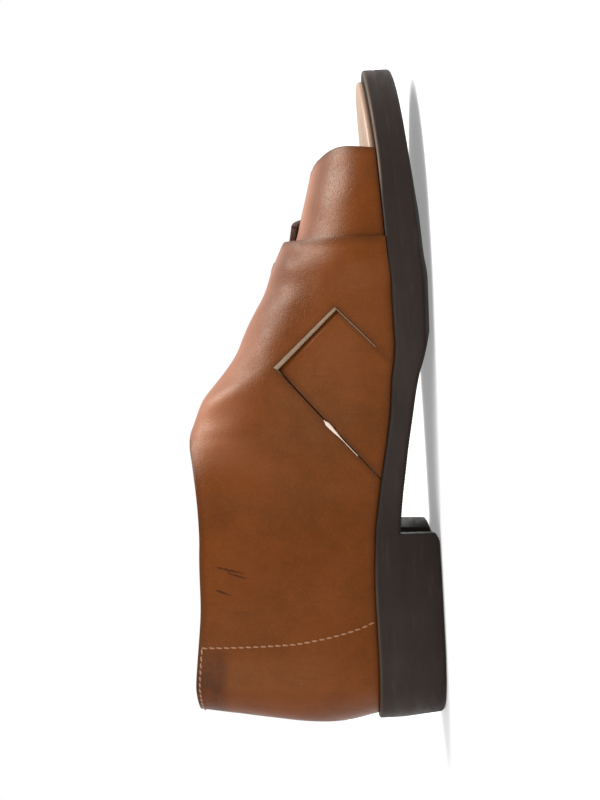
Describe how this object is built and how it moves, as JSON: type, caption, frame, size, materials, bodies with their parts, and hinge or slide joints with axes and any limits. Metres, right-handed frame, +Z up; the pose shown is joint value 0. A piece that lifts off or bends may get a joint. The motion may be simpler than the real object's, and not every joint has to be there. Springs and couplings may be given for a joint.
{
  "type": "criss cross sandal",
  "caption": "Open-toed leather shoe sandal with a closed heel, two quarter panels crossing over the instep and a moulded block-heeled sole.",
  "frame": {"origin": "on the floor under the middle of the shoe's box", "axes": "+X towards the toe, +Y towards the inner side of the foot, +Z up"},
  "size_m": [0.2644, 0.0978, 0.0987],
  "materials": {
    "outsole_rubber": "dark brown moulded sole, satin-matt",
    "footbed_leather": "smooth tan lining leather",
    "upper_leather": "brown waxed leather, satin, fine grain"
  },
  "bodies": {
    "root": {"outsole": "outsole_rubber", "footbed": "footbed_leather", "upper": "upper_leather"}
  },
  "joints": []
}
